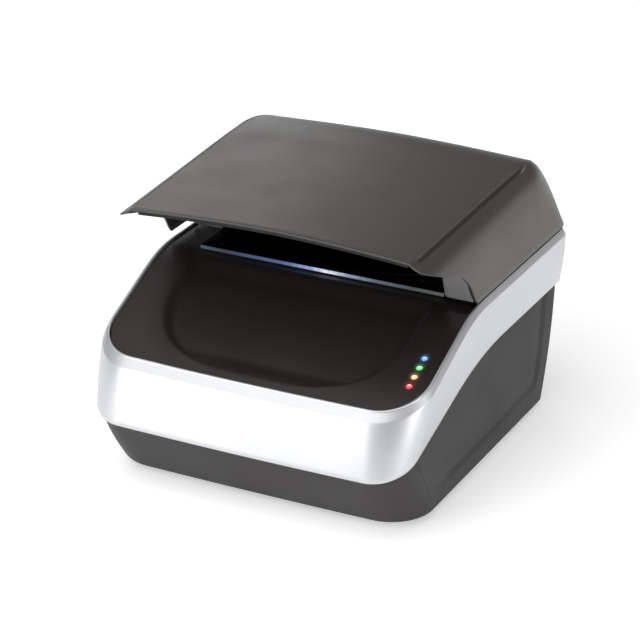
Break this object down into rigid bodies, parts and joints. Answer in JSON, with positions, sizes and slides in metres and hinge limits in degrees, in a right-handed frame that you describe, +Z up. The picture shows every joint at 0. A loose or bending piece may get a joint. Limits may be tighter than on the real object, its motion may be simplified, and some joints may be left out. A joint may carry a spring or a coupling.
{
  "type": "passport reader",
  "caption": "Desktop full-page passport reader: a low body with a stepped silver band, a black deck with a flat reading window, and a hinged hood over the window.",
  "frame": {"origin": "on the table under the middle of the body", "axes": "+Z up, -Y towards the person who lays the document down, +X to that person's right, where the status lights are"},
  "size_m": [0.178, 0.2037, 0.1431],
  "materials": {
    "base_plastic": "fine satin grain",
    "hood_plastic": "satin",
    "silver_paint": "silver lacquer on plastic",
    "deck_black": "gloss",
    "satin_black": "satin",
    "clear_glass": "polished",
    "steel": "plated",
    "rubber": "matte",
    "board_green": "solder mask",
    "diffuser_white": "frosted",
    "ribbon": "polyimide film",
    "light_blue": "tinted lens",
    "light_green": "tinted lens",
    "light_amber": "tinted lens",
    "light_red": "tinted lens"
  },
  "bodies": {
    "body": {"base_shell": "base_plastic", "bottom_cover": "base_plastic", "silver_band": "silver_paint", "top_plate": "deck_black", "window_glass": "clear_glass", "window_gasket": "satin_black", "hinge_bracket_left": "steel", "hinge_bracket_right": "steel", "status_light_blue": "light_blue", "status_light_green": "light_green", "status_light_amber": "light_amber", "status_light_red": "light_red", "indicator_board": "board_green", "cover_screw_front_left": "steel", "cover_screw_front_right": "steel", "cover_screw_rear_left": "steel", "cover_screw_rear_right": "steel", "rubber_foot_front_left": "rubber", "rubber_foot_front_right": "rubber", "rubber_foot_rear_left": "rubber", "rubber_foot_rear_right": "rubber", "io_panel": "satin_black", "lock_plate": "steel", "usb_socket": "steel", "power_jack": "satin_black", "main_board": "board_green", "processor_chip": "satin_black", "chip_reader_module": "steel", "buzzer": "satin_black", "antenna_board": "board_green", "optics_box": "satin_black", "illumination_board_left": "board_green", "illumination_board_right": "board_green", "diffuser_left": "diffuser_white", "diffuser_right": "diffuser_white", "camera_board": "board_green", "lens_holder": "satin_black", "lens_barrel": "satin_black", "lens_glass": "clear_glass", "camera_ribbon": "ribbon"},
    "hood": {"hood_shell": "hood_plastic", "hood_liner": "satin_black", "hinge_arm_left": "steel", "hinge_arm_right": "steel", "hinge_pin_left": "steel", "hinge_pin_right": "steel"}
  },
  "joints": [
    {"name": "hood_hinge", "type": "hinge", "parent": "body", "child": "hood", "pos_m": [0, 0.0964, 0.1025], "axis": [-1, 0, 0], "range_deg": [0, 70]}
  ]
}
